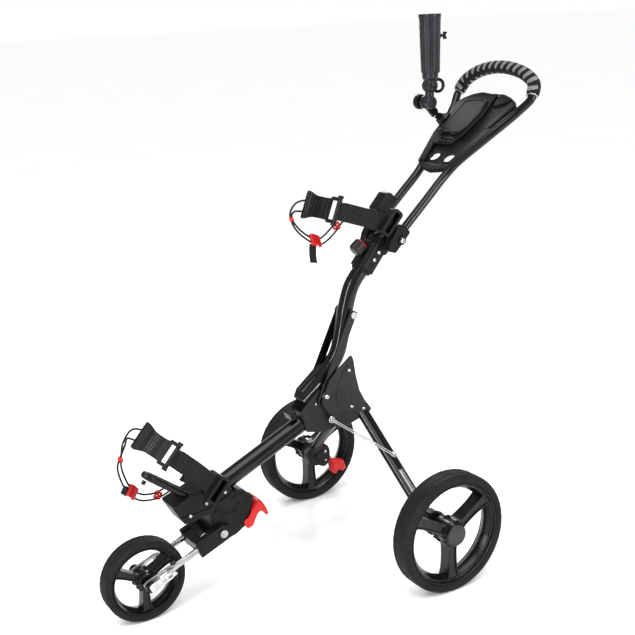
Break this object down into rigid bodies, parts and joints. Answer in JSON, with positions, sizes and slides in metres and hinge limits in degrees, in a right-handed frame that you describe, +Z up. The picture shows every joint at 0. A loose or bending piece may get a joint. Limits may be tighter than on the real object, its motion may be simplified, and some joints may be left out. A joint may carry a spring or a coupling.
{
  "type": "golf push trolley",
  "caption": "Folding three-wheeled push trolley that carries a golf bag between two strapped cradles, with a looped handle, a score console and an umbrella holder.",
  "frame": {"origin": "on the ground, below the middle of the whole trolley", "axes": "+Z up, front wheel towards -Y, +X towards the trolley's left side"},
  "size_m": [0.682, 1.1881, 1.302],
  "materials": {
    "black_tube": "gloss black",
    "silver": "bright, lightly brushed",
    "black_plastic": "fine matt grain",
    "cover_plastic": "satin dark grey",
    "rim_plastic": "satin black",
    "tyre": "matt foam tread",
    "red_plastic": "bright red",
    "webbing": "woven black",
    "foam": "closed-cell foam, black with grey bands"
  },
  "bodies": {
    "main_frame": {"front_housing": "black_plastic", "fork_pivot_bolt": "silver", "lower_tube": "black_tube", "lower_cradle": "black_plastic", "bag_rest": "black_plastic", "lower_strap_buckle": "webbing", "lower_cord": "webbing", "lower_cord_slider": "red_plastic", "lower_cord_hook": "red_plastic", "lower_cord_guide": "red_plastic", "centre_bracket": "cover_plastic", "cover_left": "cover_plastic", "cover_right": "cover_plastic"},
    "fork": {"fork_yoke": "black_plastic", "fork_bar_left": "silver", "fork_bar_right": "silver", "front_axle": "black_plastic"},
    "front_wheel": {"front_tyre": "tyre", "front_rim": "rim_plastic"},
    "tracking_lever": {"tracking_lever": "silver"},
    "fork_release_lever": {"fork_release_lever": "red_plastic"},
    "lower_strap_lever": {"lower_strap_lever": "black_plastic"},
    "mast": {"mast": "black_tube", "brace_left": "black_tube", "brace_right": "black_tube", "mast_pivot_bolt": "silver", "upper_clamp": "black_plastic", "upper_cradle": "black_plastic", "upper_strap_buckle": "webbing", "upper_cord": "webbing", "upper_cord_slider": "red_plastic", "upper_cord_hook": "red_plastic", "upper_cord_guide": "red_plastic", "handle_hinge_bolt": "silver"},
    "brace_wing_bolt": {"brace_wing_bolt": "silver"},
    "mast_latch": {"mast_latch": "black_plastic"},
    "height_knob": {"height_knob": "black_plastic"},
    "upper_strap_lever": {"upper_strap_lever": "black_plastic"},
    "leg_left": {"leg_left": "black_tube", "axle_bracket_left": "black_plastic", "rear_axle_left": "silver"},
    "leg_right": {"leg_right": "black_tube", "axle_bracket_right": "black_plastic", "rear_axle_right": "silver"},
    "stay_left": {"leg_stay_left": "silver"},
    "stay_right": {"leg_stay_right": "silver"},
    "rear_wheel_left": {"rear_tyre_left": "tyre", "rear_rim_left": "rim_plastic"},
    "rear_wheel_right": {"rear_tyre_right": "tyre", "rear_rim_right": "rim_plastic"},
    "brake_pedal": {"brake_pedal": "red_plastic"},
    "handle": {"handle_hinge_block": "black_plastic", "handle_frame": "black_tube", "handle_grip": "foam", "console": "black_plastic", "umbrella_bracket": "black_plastic"},
    "score_clip": {"score_clip": "black_plastic"},
    "umbrella_knob": {"umbrella_knob": "black_plastic"},
    "umbrella_tube": {"umbrella_tube": "black_plastic"},
    "umbrella_screw": {"umbrella_screw": "black_plastic"}
  },
  "joints": [
    {"name": "fork_fold", "type": "hinge", "parent": "main_frame", "child": "fork", "pos_m": [0, -0.307, 0.1705], "axis": [1, 0, 0], "range_deg": [0, 110]},
    {"name": "front_wheel_spin", "type": "hinge", "parent": "fork", "child": "front_wheel", "pos_m": [0, -0.496, 0.098], "axis": [1, 0, 0], "continuous": true},
    {"name": "tracking_adjust", "type": "hinge", "parent": "fork", "child": "tracking_lever", "pos_m": [0, -0.496, 0.098], "axis": [1, 0, 0], "range_deg": [0, 25]},
    {"name": "fork_release", "type": "hinge", "parent": "main_frame", "child": "fork_release_lever", "pos_m": [0, -0.205, 0.217], "axis": [1, 0, 0], "range_deg": [0, 25], "stiffness_Nm_per_rad": 1.5, "springref_deg": -11.46},
    {"name": "lower_strap_lever_turn", "type": "hinge", "parent": "main_frame", "child": "lower_strap_lever", "pos_m": [0.038, -0.414, 0.39], "axis": [0, 0.6816, 0.7317], "range_deg": [0, 50]},
    {"name": "mast_fold", "type": "hinge", "parent": "main_frame", "child": "mast", "pos_m": [0, -0.005, 0.434], "axis": [1, 0, 0], "range_deg": [0, 80]},
    {"name": "brace_wing_turn", "type": "hinge", "parent": "mast", "child": "brace_wing_bolt", "pos_m": [0, 0.084, 0.619], "axis": [1, 0, 0], "range_deg": [-90, 90]},
    {"name": "mast_latch_slide", "type": "slide", "parent": "main_frame", "child": "mast_latch", "axis": [0, -0.9206, -0.3904], "range_m": [0, 0.008], "stiffness_N_per_m": 400, "springref_m": -0.004},
    {"name": "height_knob_turn", "type": "hinge", "parent": "mast", "child": "height_knob", "pos_m": [0, 0.113, 0.764], "axis": [0, 0.7967, 0.6044], "range_deg": [-180, 180]},
    {"name": "upper_strap_lever_turn", "type": "hinge", "parent": "mast", "child": "upper_strap_lever", "pos_m": [0.032, 0.05, 0.877], "axis": [0, 0.3697, 0.9292], "range_deg": [0, 50]},
    {"name": "leg_fold_left", "type": "hinge", "parent": "main_frame", "child": "leg_left", "pos_m": [0.0295, 0.144, 0.372], "axis": [0, 1, 0], "range_deg": [0, 30]},
    {"name": "leg_fold_right", "type": "hinge", "parent": "main_frame", "child": "leg_right", "pos_m": [-0.0295, 0.144, 0.372], "axis": [0, -1, 0], "range_deg": [0, 30]},
    {"name": "stay_swing_left", "type": "hinge", "parent": "main_frame", "child": "stay_left", "pos_m": [0.0435, 0.004, 0.375], "axis": [-0.409, 0.781, 0.472], "range_deg": [0, 25]},
    {"name": "stay_swing_right", "type": "hinge", "parent": "main_frame", "child": "stay_right", "pos_m": [-0.0435, 0.004, 0.375], "axis": [-0.409, -0.781, -0.472], "range_deg": [0, 25]},
    {"name": "rear_wheel_spin_left", "type": "hinge", "parent": "leg_left", "child": "rear_wheel_left", "pos_m": [0.31, 0.144, 0.145], "axis": [1, 0, 0], "continuous": true},
    {"name": "rear_wheel_spin_right", "type": "hinge", "parent": "leg_right", "child": "rear_wheel_right", "pos_m": [-0.31, 0.144, 0.145], "axis": [1, 0, 0], "continuous": true},
    {"name": "brake_pedal_press", "type": "hinge", "parent": "leg_right", "child": "brake_pedal", "pos_m": [-0.265, 0.144, 0.145], "axis": [1, 0, 0], "range_deg": [-15, 0]},
    {"name": "handle_fold", "type": "hinge", "parent": "mast", "child": "handle", "pos_m": [0, 0.21, 0.788], "axis": [1, 0, 0], "range_deg": [-55, 15]},
    {"name": "score_clip_lift", "type": "hinge", "parent": "handle", "child": "score_clip", "pos_m": [-0.03, 0.432, 1.013], "axis": [1, 0, 0], "range_deg": [0, 20], "stiffness_Nm_per_rad": 0.4, "springref_deg": -11.46},
    {"name": "umbrella_knob_turn", "type": "hinge", "parent": "handle", "child": "umbrella_knob", "pos_m": [-0.13, 0.427, 1.086], "axis": [1, 0, 0], "range_deg": [-180, 180]},
    {"name": "umbrella_tilt", "type": "hinge", "parent": "handle", "child": "umbrella_tube", "pos_m": [-0.104, 0.427, 1.086], "axis": [1, 0, 0], "range_deg": [-30, 40]},
    {"name": "umbrella_screw_turn", "type": "hinge", "parent": "umbrella_tube", "child": "umbrella_screw", "pos_m": [-0.104, 0.435, 1.248], "axis": [0, 1, 0], "range_deg": [-180, 180]}
  ],
  "couplings": [
    {"joint": "leg_fold_left", "follows": "mast_fold", "ratio": 0.375},
    {"joint": "leg_fold_right", "follows": "mast_fold", "ratio": 0.375},
    {"joint": "stay_swing_left", "follows": "mast_fold", "ratio": 0.308},
    {"joint": "stay_swing_right", "follows": "mast_fold", "ratio": 0.308}
  ]
}
